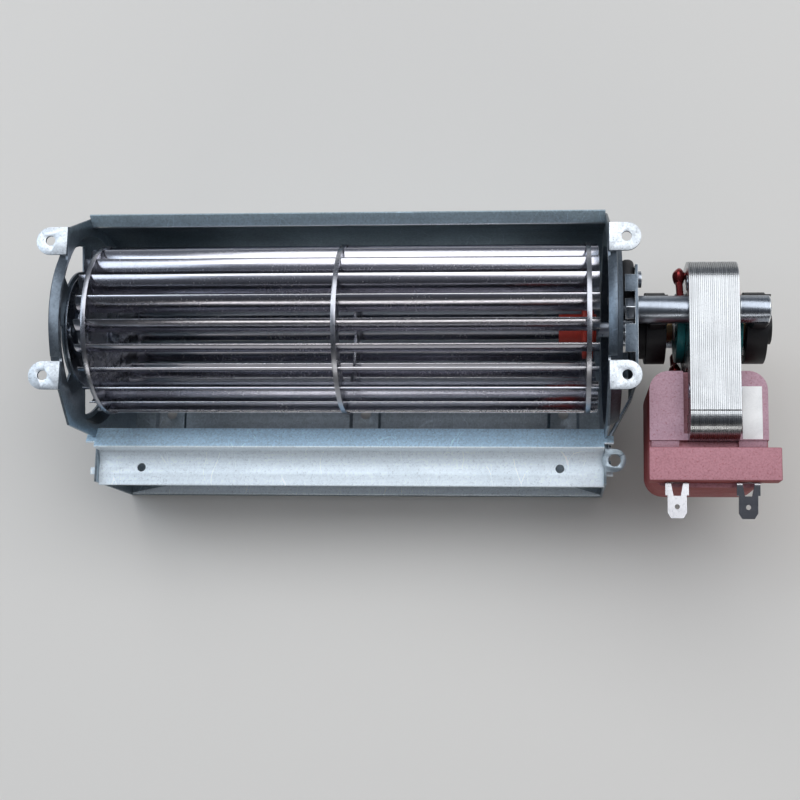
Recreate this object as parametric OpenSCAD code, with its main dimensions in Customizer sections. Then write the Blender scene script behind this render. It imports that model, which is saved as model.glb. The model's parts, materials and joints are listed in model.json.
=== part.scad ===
// Tangential cooling fan: a squirrel cage impeller between two sheet end plates, with a shaded pole motor.
// X runs along the shaft towards the motor, -Y is the air outlet, +Z is the open intake side.
// Modules are written about the shaft axis; in_frame() moves the origin amid the four mounting holes.

/* [Housing] */
// Clear length between the end plates
housing_len = 182; // [150:1:260]
// Thickness of the galvanised sheet
sheet = 0.8; // [0.6:0.1:1]
// Inner radius of the scroll sheet behind the impeller
scroll_r = 45; // [44:0.5:48]
// Y of the scroll's centre of curvature
scroll_y = -7.4; // [-8.4:0.2:-7]
// Z of the scroll's centre of curvature
scroll_z = -5; // [-6:0.25:-4.5]
// Start angle of the scroll sheet at its leading edge
scroll_start = 17.5; // [15:0.5:19]
// Length of the flared leading edge
flare_len = 4.6; // [3:0.2:6]
// Tilt of the flared leading edge
flare_tilt = 49; // [40:1:60]
// Y of the outlet's front edges
outlet_y = -53.5; // [-58:0.5:-53]
// Z of the upper outlet lip's top face
lip_z = -11.5; // [-13:0.25:-11.5]
// Half distance between the screw holes in each outlet lip
lip_hole_x = 75.5; // [60:0.5:80]
// Distance of the lip screw holes from the outlet's front edge
lip_hole_back = 5.6; // [4.5:0.1:7]
// Diameter of the lip screw holes
lip_hole_d = 3.2; // [2.5:0.1:4]
// Half distance between the outer pressed feet
foot_x = 77; // [65:0.5:80]
// Y of the pressed feet
foot_y = -21.4; // [-24:0.2:-20]
// Width of a pressed foot
foot_w = 10; // [8:0.5:12]
// Length of a pressed foot along the air flow
foot_l = 18; // [14:0.5:20]
// Depth of a pressed foot below the floor
foot_depth = 1.2; // [1:0.1:1.6]
// Diameter of the hole in a foot
foot_hole_d = 4; // [3:0.1:4.5]

/* [Mounting tabs] */
// Z of the mounting tabs' upper face above the shaft
tab_z = 31.2; // [31:0.1:32]
// Distance from an end plate's inner face to its tab holes
tab_reach = 6.1; // [5.5:0.1:8]
// Distance between the two tab holes of one plate
tab_pitch = 46.5; // [46:0.1:48]
// Y of the middle of the tab holes
tab_mid_y = 0.45; // [0:0.05:0.8]
// Width of a tab
tab_w = 9.6; // [8.6:0.2:10]
// Diameter of a tab's hole
tab_hole_d = 3.4; // [3:0.1:4.5]

/* [End plates] */
// Outer radius of the arched and flared rim between the tabs
rim_r = 36.8; // [36.6:0.1:37.6]
// Width of the flared rim
rim_w = 2.8; // [2.4:0.1:3.2]
// Depth of the pressed dish around the shaft
dish_depth = 4; // [3:0.25:4.5]
// Radius of the dish's flat floor
dish_r = 32.6; // [32.4:0.1:33]
// Inner radius of the cooling windows
window_r1 = 21; // [20.8:0.1:26]
// Outer radius of the cooling windows
window_r2 = 30; // [29:0.1:31.4]
// Radius of the round earth lug on the motor side
lug_r = 4.1; // [3.6:0.1:5]

/* [Impeller] */
// Outside diameter of the impeller's discs
impeller_d = 60; // [57:0.5:61]
// Gap between the blade ends and the end plates
end_gap = 2.5; // [2:0.25:4]
// Distance from the blade ends to the end discs
disc_inset = 3.5; // [3:0.25:6]
// Number of blades
blade_count = 22; // [18:1:24]
// Thickness of a blade
blade_t = 0.5; // [0.4:0.05:0.6]
// Radius of a blade's curve
blade_curve_r = 5.9; // [5.5:0.1:6.2]
// Angle that a blade's curve spans
blade_sweep = 75; // [65:1:78]
// Thickness of the discs
disc_t = 0.8; // [0.6:0.1:1]
// Width of the discs' rolled rim
disc_rim_w = 1.6; // [1.2:0.1:2]
// Length of the silicone hub
hub_l = 13; // [10:0.5:16]

/* [Shafts and bearings] */
// Diameter of the motor shaft and of the stub axle
shaft_d = 6; // [5:0.25:6.5]
// Outside diameter of the bearing bushes
bush_d = 9; // [8.8:0.1:10]
// Running play between a shaft and its bush, on the diameter
shaft_play = 0.06; // [0.04:0.01:0.12]
// Gap between seated pieces that only touch
seat_gap = 0.05; // [0.02:0.01:0.08]

/* [Motor] */
// Distance from the end plate to the bridge's outer face
bridge_h = 9.5; // [8.8:0.1:11]
// Length of the front spacer tubes
tube_l = 16.7; // [16.5:0.1:20]
// Outside diameter of the spacer tubes and post nuts
tube_d = 9.3; // [8:0.1:9.5]
// Y of the two through screws
post_y = 2; // [0:0.25:2.5]
// Z of the two through screws
post_z = 18.5; // [18.3:0.1:19]
// Thickness of the lamination stack
stack_t = 16.6; // [12:0.2:24]
// Half height of the lamination stack
stack_z = 24; // [23.8:0.1:25]
// Depth of the stack's arms over the coil
arm_z = 8; // [7.4:0.1:8.2]
// Y of the stack's closed end
stack_y1 = 19.4; // [19.2:0.2:23]
// Y of the seam between the stack and the coil's core bar
seam_y = -33; // [-34:0.25:-32.5]
// Width of the coil's core bar
bar_w = 9; // [8.4:0.1:9.4]
// Radius of the rotor
rotor_r = 12; // [11:0.1:12.1]
// Air gap between rotor and stator
air_gap = 0.4; // [0.3:0.05:0.5]
// Width of the rotor's end rings
ring_w = 2.8; // [2:0.1:3]

/* [Coil and terminals] */
// Y of the coil cover's front face
cover_y1 = -18.3; // [-19:0.1:-18]
// Y of the coil cover's far face
cover_y0 = -57.3; // [-60:0.1:-56.8]
// Half height of the coil cover
cover_z = 15.3; // [15:0.05:15.4]
// Wall thickness of the coil cover
cover_wall = 1.4; // [1:0.1:1.6]
// Corner radius of the coil cover
cover_r = 6.5; // [5:0.5:8]
// Length of the terminal block
block_l = 43.2; // [42:0.2:46]
// Depth of the terminal block along Y
block_y = 11; // [10.4:0.2:11.6]
// Height of the terminal block
block_z = 7; // [6:0.2:8]
// Distance between the two terminals
terminal_pitch = 23.4; // [20:0.2:26]
// Width of a terminal's blade
terminal_w = 6.3; // [4.8:0.1:6.4]
// Droop of the bent right terminal
terminal_droop = 9; // [0:1:9]

/* [Hidden] */
$fn = 96;
e = 0.01;
plate_in = housing_len / 2;
plate_out = plate_in + sheet;
dish_in = plate_in + dish_depth;
dish_out = dish_in + sheet;
floor_z = scroll_z - scroll_r;
base_z = floor_z - sheet - foot_depth;
chute_y = -37.8;
chute_z = lip_z + 2.5;
foot_flat_y = 14;
lip_down = 1;
back_y = 40.5;
ridge = [chute_y - 3.5, lip_z + 7];
tip = [chute_y + 3.2, lip_z + 3.6];
heel = [chute_y - 3.8, lip_z + 1.3];
knee = [chute_y - 6.8, lip_z - sheet / 2];
nose = [outlet_y - 0.5, lip_z - sheet / 2];
tab_x = plate_in + tab_reach;
tab_y = [tab_mid_y - tab_pitch / 2, tab_mid_y + tab_pitch / 2];
rim_y = -1.8;
rim_rise = 1.1;
bend_r = rim_r - rim_rise;
rim_y0 = tab_y[0] + tab_w / 2 + 1.2;
rim_y1 = tab_y[1] - tab_w / 2;
shaft_r = shaft_d / 2;
bush_r = bush_d / 2;
bore_r = shaft_r + shaft_play / 2;
impeller_r = impeller_d / 2;
blade_end = plate_in - end_gap;
disc_x = blade_end - disc_inset;
rim_bead = 0.4;
cup_r = 9.8;
cup_flange_r = 19.8;
cup_rivet_r = 1.2;
cup_rivets_on = 16.4;
cup_rivets_at = [105, 225, 345];
slot_gap = 0.06;
bend_steps = 6;
blade_tip_r = impeller_r - 0.4 - blade_t / 2;
blade_fall = blade_curve_r * (1 - cos(blade_sweep));
blade_root_r = sqrt(blade_tip_r * blade_tip_r - blade_fall * blade_fall) - blade_curve_r * sin(blade_sweep);
blade_phase = 6.5;
hub_r = 10.5;
hub_groove_r = 8.5;
hub_x0 = blade_end - 0.5 - hub_l;
lug_y = -45.2;
bridge_out = plate_out + bridge_h;
bridge_t = 1;
bridge_in = bridge_out - bridge_t;
bridge_z = 22;
bridge_y0 = -22;
bridge_y1 = 16.8;
flange_y = [-13.2, 13.4];
channel_w = 4.3;
foot_rivets_y = [-40.5, -46.5];
foot_rivets_z = -18;
buffer_at = [13.8, 13.8];
buffer_r = 6.8;
buffer_screw_r = 1.5;
nut_room = 5.6;
stack_x0 = bridge_out + tube_l;
stack_x1 = stack_x0 + stack_t;
post_nut_l = 10.4;
screw_r = 2;
tube_r = tube_d / 2;
bore_stator = rotor_r + air_gap;
housing_r = 12.4;
felt_r = 9.5;
felt_pocket = 4;
front_gap = 6.5;
rear_gap = 4;
bar_y = seam_y - bar_w;
bar_corner = 8;
stack_corner = 10;
window_y = cover_y1 + 1.3;
cover_x0 = stack_x0 - 12.8;
cover_x1 = stack_x1 + 9.8;
cover_step_z = 13;
cover_core = 1;
winding_z = 12;
block_x0 = stack_x0 - 13.4;
block_y1 = bar_y - 2.8;
ledge_l = 9.2;
block_y0 = block_y1 - block_y;
block_top = cover_step_z + block_z;
terminal_z = cover_step_z + 1.5;
terminal_t = 0.8;
terminal_x = stack_x0 - 4;
rivet_r = 1.5;
rivets_at = [[11.2, 18], [11.2, -18], [-26, 20], [-26, -20]];
ring_wire = 2.6;
ring_stand_off = 2.1;
knob_r = 2.9;
// Each shading ring is given by its two legs through the stack, as [Y, Z]
shading_at = [[[8, 14.2], [16.2, 9.4]], [[-6.5, -14.5], [-14.6, -9.2]]];

// Moves the shaft's frame to the part's frame
module in_frame() {
    translate([0, -tab_mid_y, -tab_z]) children();
}

// Extrudes a [Y, Z] outline along X
module along_x(x0, x1) {
    translate([x0, 0, 0]) rotate([90, 0, 90]) linear_extrude(x1 - x0) children();
}

// Round bar about an axis parallel to X
module bar_x(r, x0, x1, y = 0, z = 0) {
    translate([x0, y, z]) rotate([0, 90, 0]) cylinder(r = r, h = x1 - x0);
}

// Round tube about an axis parallel to X
module tube_x(r_in, r_out, x0, x1, y = 0, z = 0) {
    difference() {
        bar_x(r_out, x0, x1, y, z);
        bar_x(r_in, x0 - 1, x1 + 1, y, z);
    }
}

// Upright pin or hole
module bar_z(r, x, y, z0, z1) {
    translate([x, y, z0]) cylinder(r = r, h = z1 - z0);
}

// Box between two opposite corners
module box(a, b) {
    translate(a) cube(b - a);
}

// Sheet seen edge on, from p to q, with round ends
module strip(p, q, t) {
    d = q - p;
    translate(p) rotate(atan2(d[1], d[0])) translate([0, -t / 2]) square([norm(d), t]);
    translate(p) circle(d = t);
    translate(q) circle(d = t);
}

// Sector of the plane between two angles, less than 180 degrees apart
module wedge(r, a0, a1) {
    far = 1.5 * r * [cos((a0 + a1) / 2), sin((a0 + a1) / 2)];
    polygon([[0, 0], r * [cos(a0), sin(a0)], far, r * [cos(a1), sin(a1)]]);
}

// Part of a ring between two angles
module ring_part(r_in, r_out, a0, a1) {
    intersection() {
        difference() {
            circle(r = r_out);
            circle(r = r_in);
        }
        wedge(2 * r_out, a0, a1);
    }
}

// Outline made of a half outline, from top to bottom, and its mirror image
module both_sides(half) {
    polygon(concat(half, [for (i = [len(half) - 1:-1:0]) [-half[i][0], half[i][1]]]));
}

// Repeats its children at both through screws
module at_posts() {
    for (s = [-1, 1]) translate([0, post_y, s * post_z]) children();
}

// Repeats its children at both buffers
module at_buffers() {
    for (s = [-1, 1]) translate([0, buffer_at[0], s * buffer_at[1]]) children();
}

// Strip of the plane between the two tabs
module between_tabs() {
    translate([rim_y0, 0]) square([rim_y1 - rim_y0, rim_r + 1]);
}

// Outline of an end plate: foot, chute side, tab shoulders and arched rim
module plate_outline() {
    polygon([
        [outlet_y, base_z], [foot_flat_y, base_z], [back_y, base_z + back_y - foot_flat_y], [back_y, 5],
        [38.1, 10.6], [tab_y[1] + tab_w / 2, tab_z - sheet], [tab_y[0] - tab_w / 2, tab_z - sheet],
        [chute_y, 20], [chute_y, chute_z], [outlet_y, chute_z]
    ]);
    intersection() {
        translate([rim_y, 0]) circle(r = bend_r - 0.6);
        between_tabs();
    }
}

// Mounting tab bent out of the plate at Y = y
module tab(y) {
    bend = sheet / 2;
    translate([0, y + tab_w / 2, 0]) rotate([90, 0, 0]) linear_extrude(tab_w) polygon([
        [plate_in, tab_z - 2 * sheet], [plate_in, tab_z - bend], [plate_in + bend, tab_z],
        [plate_out + 0.5, tab_z], [plate_out + 0.5, tab_z - sheet], [plate_out, tab_z - sheet - bend],
        [plate_out, tab_z - 2 * sheet]
    ]);
    translate([0, 0, tab_z - sheet]) linear_extrude(sheet) difference() {
        union() {
            translate([plate_out + 0.4, y - tab_w / 2]) square([tab_reach - sheet - 0.4, tab_w]);
            translate([tab_x, y]) circle(d = tab_w);
        }
        translate([tab_x, y]) circle(d = tab_hole_d);
    }
}

// Part of the tongue sheet's slope that becomes a locking tab
module slope_tab(grow) {
    strip(tip + 0.4 * (ridge - tip), tip + 0.75 * (ridge - tip), sheet + grow);
}

// Locking tabs of the scroll sheet, seen along X
module scroll_tabs(grow) {
    for (y = [-43, -12])
        translate([y - grow / 2, floor_z - sheet - grow / 2]) square([4 + grow, sheet + grow]);
    half = 2.5 + grow;
    translate([scroll_y, scroll_z]) ring_part(scroll_r - grow / 2, scroll_r + sheet + grow / 2, -half, half);
}

// Locking tabs of scroll and tongue sheet, seen along X
module locking_tabs(grow) {
    slope_tab(grow);
    for (y = [outlet_y + 3, outlet_y + 5.5])
        translate([y - grow / 2, lip_z - sheet - grow / 2]) square([2.5 + grow, sheet + grow]);
    scroll_tabs(grow);
}

// End plate on the +X side, with a dish that has a hole and windows, each given as [angle, half width]
module plate_body(hole_r, windows) {
    difference() {
        along_x(plate_in, plate_out) plate_outline();
        bar_x(dish_r + 1.8, plate_in - 1, plate_out + 1);
        along_x(plate_in - 1, plate_out + 1) locking_tabs(2 * seat_gap);
    }
    difference() {
        translate([plate_in, 0, 0]) rotate([0, 90, 0]) rotate_extrude() polygon([
            [hole_r, dish_depth], [dish_r - 0.8, dish_depth], [dish_r + 1, 0], [dish_r + 2.2, 0],
            [dish_r + 2.2, sheet], [dish_r + 1.6, sheet], [dish_r - 0.2, dish_depth + sheet],
            [hole_r, dish_depth + sheet]
        ]);
        for (w = windows)
            along_x(dish_in - 0.3, dish_out + 1) ring_part(window_r1, window_r2, w[0] - w[1], w[0] + w[1]);
    }
    slope = atan2(rim_rise, rim_w);
    under = sheet * [-cos(slope), sin(slope)];
    intersection() {
        translate([plate_in, rim_y, 0]) rotate([0, 90, 0]) rotate_extrude() polygon([
            [bend_r - 1.2, 0], [bend_r, 0], [rim_r, rim_w], [rim_r, rim_w] + under,
            [bend_r + under[0] + (sheet - under[1]) * tan(slope), sheet], [bend_r - 1.2, sheet]
        ]);
        along_x(plate_in - 1, plate_out + rim_w + 1) between_tabs();
    }
    for (y = tab_y) tab(y);
}

module left_end_plate() {
    color("lightsteelblue") mirror([1, 0, 0]) difference() {
        plate_body(cup_r + 0.2, [for (i = [0:3]) [34 + 90 * i, 24]]);
        at_cup_rivets() bar_x(cup_rivet_r + seat_gap, plate_in, dish_out + 1);
    }
}

module right_end_plate() {
    color("lightsteelblue") difference() {
        union() {
            plate_body(14, [[0, 22], [90, 28], [180, 22], [270, 28]]);
            translate([0, 0, chute_z - sheet]) linear_extrude(sheet) difference() {
                union() {
                    translate([plate_out + 2.8, lug_y]) circle(r = lug_r);
                    translate([plate_out - 0.3, lug_y - lug_r]) square([3.1, 2 * lug_r]);
                }
                translate([plate_out + 2.8, lug_y]) circle(r = lug_r - 1.9);
            }
        }
        at_buffers() bar_x(buffer_screw_r + seat_gap, dish_in - 1, dish_out + 1);
        for (y = foot_rivets_y) bar_x(rivet_r + seat_gap, plate_in - 1, plate_out + 1, y, foot_rivets_z);
    }
}

// Leading edge of the scroll sheet: a bend and a straight flare
module flare() {
    corner = (scroll_r + sheet) * [cos(scroll_start), sin(scroll_start)];
    run = flare_len * [cos(flare_tilt), sin(flare_tilt)];
    polygon([
        corner, corner + run, corner + run + sheet * [-sin(flare_tilt), cos(flare_tilt)],
        for (k = [0:bend_steps]) let(a = flare_tilt + 90 + k / bend_steps * (scroll_start + 90 - flare_tilt))
            corner + sheet * [cos(a), sin(a)]
    ]);
}

// Flat floor with its front edge bent down
module floor_profile() {
    polygon([
        [scroll_y, floor_z],
        for (k = [0:bend_steps]) let(a = 90 + 90 * k / bend_steps)
            [outlet_y + sheet + sheet * cos(a), floor_z - sheet + sheet * sin(a)],
        [outlet_y, floor_z - sheet - lip_down], [outlet_y + sheet, floor_z - sheet - lip_down],
        [outlet_y + sheet, floor_z - sheet], [scroll_y, floor_z - sheet]
    ]);
}

// Frustum with sides at 45 degrees, from a rectangle at z0 up to z1
module pressing(half_w, half_l, z0, z1) {
    hull() for (z = [z0, z1]) let(grow = z - z0)
        translate([0, 0, z]) cube([2 * (half_w + grow), 2 * (half_l + grow), e], center = true);
}

// Rear wall and floor in one bent sheet, with three pressed feet
module scroll_sheet() {
    wall_gain = sheet * (sqrt(2) - 1);
    color("lightsteelblue") difference() {
        union() {
            along_x(-plate_in + seat_gap, plate_in - seat_gap) {
                translate([scroll_y, scroll_z]) {
                    ring_part(scroll_r, scroll_r + sheet, -90, scroll_start);
                    flare();
                }
                floor_profile();
            }
            for (i = [-1:1]) translate([i * foot_x, foot_y, 0])
                pressing(foot_w / 2 + wall_gain, foot_l / 2 + wall_gain, base_z + e / 2, floor_z - sheet / 2);
            for (s = [0, 1]) mirror([s, 0, 0]) along_x(plate_in - 0.2, plate_out + 2) scroll_tabs(0);
        }
        for (i = [-1:1]) translate([i * foot_x, foot_y, 0]) {
            pressing(foot_w / 2, foot_l / 2, base_z + sheet, floor_z + 0.5);
            bar_z(foot_hole_d / 2, 0, 0, base_z - 1, floor_z);
        }
        for (s = [-1, 1])
            bar_z(lip_hole_d / 2, s * lip_hole_x, outlet_y + lip_hole_back, floor_z - 2, floor_z + 1);
    }
}

// Tongue that cuts off the flow at the impeller, and the upper outlet lip
module tongue_sheet() {
    color("gainsboro") difference() {
        union() {
            along_x(-plate_in + seat_gap, plate_in - seat_gap) {
                strip(tip, ridge, sheet);
                strip(ridge, heel, sheet);
                strip(heel, knee, sheet);
                strip(knee, nose, sheet);
            }
            for (s = [0, 1]) mirror([s, 0, 0]) {
                along_x(plate_in - 0.2, plate_out + 2.4) slope_tab(0);
                box([plate_in - 0.2, outlet_y + 3, lip_z - sheet], [plate_out + 2.4, outlet_y + 5.5, lip_z]);
            }
        }
        for (s = [-1, 1])
            bar_z(lip_hole_d / 2, s * lip_hole_x, outlet_y + lip_hole_back, lip_z - 2, lip_z + 1);
    }
}

// Repeats its children at the rivets round the cup
module at_cup_rivets() {
    for (a = cup_rivets_at) translate([0, cup_rivets_on * cos(a), cup_rivets_on * sin(a)]) children();
}

// Pressed cup that holds the rubber seated bush in the left plate
module bearing_cup() {
    color("darkgray") mirror([1, 0, 0]) difference() {
        union() {
            bar_x(cup_r, dish_in - 3.8, dish_in + 3.3);
            bar_x(cup_flange_r, dish_in - sheet, dish_in);
        }
        bar_x(cup_r - sheet, dish_in - 5, dish_in + 2.5);
        bar_x(5.2, dish_in, dish_in + 4);
        at_cup_rivets() bar_x(cup_rivet_r + seat_gap, dish_in - 2, dish_out);
    }
}

module cup_rivets() {
    color("silver") mirror([1, 0, 0]) at_cup_rivets() {
        bar_x(cup_rivet_r, dish_in - sheet - 0.5, dish_out + 0.5);
        bar_x(cup_rivet_r + 1, dish_out, dish_out + 0.8);
        bar_x(cup_rivet_r + 1, dish_in - sheet - 0.8, dish_in - sheet);
    }
}

module bearing_rubber() {
    color("dimgray") mirror([1, 0, 0]) tube_x(bush_r, cup_r - sheet, dish_in - 3.4, dish_in + 2.5);
}

module impeller_bearing() {
    color("peru") mirror([1, 0, 0]) tube_x(bore_r, bush_r, dish_in - 4.3, dish_in + 2.3);
}

// Axle riveted into the left disc
module stub_axle() {
    color("silver") mirror([1, 0, 0]) {
        bar_x(shaft_r, disc_x - disc_t, dish_in + 2);
        bar_x(9, disc_x + disc_t / 2, disc_x + disc_t / 2 + 1.2);
        bar_x(shaft_r + 1.5, disc_x - disc_t / 2 - 0.8, disc_x - disc_t / 2);
    }
}

// One curved blade seen along X, with its tip leaning the way the impeller turns
module blade(grow = 0) {
    translate([blade_root_r, -blade_curve_r])
        ring_part(blade_curve_r - blade_t / 2 - grow, blade_curve_r + blade_t / 2 + grow,
            90 - blade_sweep - 10 * grow, 90 + 10 * grow);
}

// All the blades seen along X
module all_blades(grow = 0) {
    for (i = [0:blade_count - 1]) rotate(blade_phase + 360 / blade_count * i) blade(grow);
}

// Disc that the blades pass through
module disc(x, hole_r) {
    difference() {
        union() {
            bar_x(impeller_r, x - disc_t / 2, x + disc_t / 2);
            tube_x(impeller_r - rim_bead, impeller_r, x - disc_rim_w / 2, x + disc_rim_w / 2);
        }
        bar_x(hole_r, x - 1, x + 1);
        along_x(x - 1, x + 1) all_blades(slot_gap);
    }
}

module left_disc() {
    color("silver") disc(-disc_x, shaft_r);
}

module middle_disc() {
    color("silver") disc(0, 20.5);
}

module right_disc() {
    color("silver") disc(disc_x, hub_groove_r);
}

module blades() {
    color("lightgray") for (i = [0:blade_count - 1])
        along_x(-blade_end, blade_end) rotate(blade_phase + 360 / blade_count * i) blade();
}

// Heat proof rubber hub that carries the right disc on the motor shaft
module silicone_hub() {
    color("firebrick") difference() {
        bar_x(hub_r, hub_x0, hub_x0 + hub_l);
        tube_x(hub_groove_r, hub_r + 1, disc_x - disc_t / 2, disc_x + disc_t / 2);
        bar_x(bush_r, hub_x0 - 1, hub_x0 + hub_l + 1);
    }
}

module hub_sleeve() {
    color("gray") tube_x(shaft_r, bush_r, hub_x0 + 1, hub_x0 + hub_l + 0.4);
}

module motor_shaft() {
    color("silver") bar_x(shaft_r, hub_x0 + 4, stack_x1 + 12.2);
}

module rotor_core() {
    color("gray") tube_x(shaft_r, rotor_r, stack_x0, stack_x1);
}

module rotor_end_rings() {
    color("teal") {
        tube_x(rotor_r - 4, rotor_r, stack_x0 - ring_w, stack_x0);
        tube_x(rotor_r - 4, rotor_r, stack_x1, stack_x1 + ring_w);
    }
}

module thrust_washers() {
    color("whitesmoke") {
        tube_x(shaft_r, bush_r - 0.2, stack_x0 - 3.5, stack_x0 - 2.9);
        tube_x(shaft_r, bush_r - 0.2, stack_x1 + 2.9, stack_x1 + 3.5);
    }
}

// Bent bracket that stands off the right plate and carries the motor
module motor_bridge() {
    color("silver") difference() {
        union() {
            box([bridge_in, bridge_y0, -bridge_z], [bridge_out, bridge_y1, bridge_z]);
            for (s = [0, 1]) mirror([0, 0, s])
                box([bridge_out - channel_w, flange_y[0], bridge_z - sheet],
                    [bridge_out, flange_y[1], bridge_z]);
            translate([0, 0, -bridge_z]) linear_extrude(12) polygon([
                [bridge_out, bridge_y0], [plate_out + bridge_t, -38], [plate_out + bridge_t, -49],
                [plate_out, -49], [plate_out, -37.4], [bridge_in, bridge_y0]
            ]);
        }
        for (s = [0, 1]) mirror([0, 0, s])
            box([bridge_out - channel_w - 1, post_y - nut_room, bridge_z - 1],
                [bridge_in, post_y + nut_room, bridge_z + 1]);
        bar_x(11.5, bridge_in - 1, bridge_out + 1);
        at_posts() bar_x(screw_r + 0.15, bridge_in - 1, bridge_out + 1);
        at_buffers() bar_x(buffer_screw_r + seat_gap, bridge_in - 1, bridge_out + 1);
        for (y = foot_rivets_y) bar_x(rivet_r + seat_gap, plate_out - 1, plate_out + 2, y, foot_rivets_z);
    }
}

module bridge_rivets() {
    color("silver") for (y = foot_rivets_y) {
        bar_x(rivet_r, plate_in - 0.5, plate_out + bridge_t + 0.5, y, foot_rivets_z);
        bar_x(rivet_r + 0.9, plate_out + bridge_t, plate_out + bridge_t + 1, y, foot_rivets_z);
        bar_x(rivet_r + 0.9, plate_in - 0.8, plate_in, y, foot_rivets_z);
    }
}

module rubber_buffers() {
    color("dimgray") at_buffers() tube_x(buffer_screw_r + 0.1, buffer_r, dish_out, bridge_in);
}

module buffer_screws() {
    color("silver") at_buffers() {
        bar_x(buffer_screw_r, dish_in - 2.4, bridge_out + 0.5);
        bar_x(buffer_screw_r + 1.3, bridge_out, bridge_out + 1.6);
    }
}

module buffer_nuts() {
    color("silver") at_buffers() translate([dish_in - 2, 0, 0]) rotate([0, 90, 0]) difference() {
        cylinder(r = 2 * buffer_screw_r, h = 2, $fn = 6);
        translate([0, 0, -1]) cylinder(r = buffer_screw_r, h = 4);
    }
}

module front_spacer_tubes() {
    color("silver") at_posts() tube_x(screw_r + 0.15, tube_r, bridge_out, stack_x0);
}

module through_screws() {
    color("gray") at_posts() bar_x(screw_r, bridge_in - 4, stack_x1 + post_nut_l - 3);
}

module through_nuts() {
    color("gainsboro") at_posts() translate([bridge_in - 3.2, 0, 0]) rotate([0, 90, 0]) difference() {
        cylinder(r = 4.1, h = 3.2, $fn = 6);
        translate([0, 0, -1]) cylinder(r = screw_r, h = 6);
    }
}

// Blind sleeve nuts at the rear of the stack
module rear_post_nuts() {
    color("silver") at_posts() difference() {
        bar_x(tube_r, stack_x1, stack_x1 + post_nut_l);
        bar_x(screw_r, stack_x1 - 1, stack_x1 + post_nut_l - 3);
    }
}

// Bearing housing with saddles that sit between the posts; x runs away from the stack
module bearing_bracket(gap, depth, boss_r, boss_l, corner) {
    half_w = 5.2;
    difference() {
        union() {
            bar_x(housing_r, gap, gap + depth);
            bar_x(boss_r, gap + depth - e, gap + depth + boss_l);
            intersection() {
                box([gap, post_y - half_w, -post_z], [gap + depth, post_y + half_w, post_z]);
                translate([gap + depth / 2, post_y, -post_z]) linear_extrude(2 * post_z)
                    both_sides([
                        [depth / 2, half_w + 1], [depth / 2, corner - half_w], [depth / 2 - corner, -half_w]
                    ]);
            }
        }
        at_posts() bar_x(tube_r + seat_gap, gap - 1, gap + depth + boss_l + 1);
        bar_x(felt_r, gap - 1, gap + felt_pocket);
    }
}

module front_bearing_bracket() {
    color("#2b2b2e") translate([stack_x0, 0, 0]) mirror([1, 0, 0]) difference() {
        bearing_bracket(front_gap, 6.8, 10.6, 2.8, 1);
        bar_x(bush_r, 0, 20);
    }
}

module rear_bearing_bracket() {
    color("#2b2b2e") translate([stack_x1, 0, 0]) difference() {
        bearing_bracket(rear_gap, 7, 5.6, 2.4, 1.4);
        bar_x(bush_r, 0, rear_gap + 8.6);
    }
}

module front_bearing() {
    color("peru") tube_x(bore_r, bush_r, stack_x0 - front_gap - 8.5, stack_x0 - ring_w - 1);
}

module rear_bearing() {
    color("peru") tube_x(bore_r, bush_r, stack_x1 + ring_w + 0.9, stack_x1 + rear_gap + 8);
}

module oil_felts() {
    color("beige") {
        tube_x(bush_r, felt_r, stack_x0 - front_gap - felt_pocket, stack_x0 - front_gap - 1);
        tube_x(bush_r, felt_r, stack_x1 + rear_gap + 1, stack_x1 + rear_gap + felt_pocket);
    }
}

module felt_retainers() {
    color("darkgray") {
        tube_x(bush_r, felt_r, stack_x0 - front_gap - 1, stack_x0 - front_gap - 0.2);
        tube_x(bush_r, felt_r, stack_x1 + rear_gap + 0.2, stack_x1 + rear_gap + 1);
    }
}

// Rectangle with round corners
module round_rect(x0, y0, x1, y1, r) {
    translate([x0 + r, y0]) square([x1 - x0 - 2 * r, y1 - y0]);
    translate([x0, y0 + r]) square([x1 - x0, y1 - y0 - 2 * r]);
    for (x = [x0 + r, x1 - r], y = [y0 + r, y1 - r]) translate([x, y]) circle(r = r);
}

// Laminated frame: bore at the closed end, arms that reach over the coil
module stator_core() {
    color("lightgray") along_x(stack_x0, stack_x1) difference() {
        union() {
            translate([seam_y, -stack_z]) square([stack_y1 - stack_corner - seam_y, 2 * stack_z]);
            round_rect(-10, -stack_z, stack_y1, stack_z, stack_corner);
        }
        circle(r = bore_stator);
        translate([seam_y - 1, arm_z - stack_z]) square([window_y - seam_y + 1, 2 * (stack_z - arm_z)]);
        for (s = [-1, 1]) translate([post_y, s * post_z]) circle(r = screw_r + 0.15);
        for (p = rivets_at) translate(p) circle(r = rivet_r);
        for (ring = shading_at, p = ring) translate(p) circle(r = ring_wire / 2 - 0.1);
    }
}

// Laminated bar through the coil that closes the frame
module coil_core_bar() {
    color("silver") along_x(stack_x0, stack_x1) intersection() {
        round_rect(bar_y, -stack_z, seam_y + 2 * bar_corner, stack_z, bar_corner);
        translate([bar_y, -stack_z]) square([bar_w, 2 * stack_z]);
    }
}

module core_rivets() {
    color("gray") for (p = rivets_at) {
        bar_x(rivet_r, stack_x0 - 0.5, stack_x1 + 0.5, p[0], p[1]);
        bar_x(2.5, stack_x0 - 0.8, stack_x0, p[0], p[1]);
        bar_x(2.5, stack_x1, stack_x1 + 0.8, p[0], p[1]);
    }
}

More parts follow.
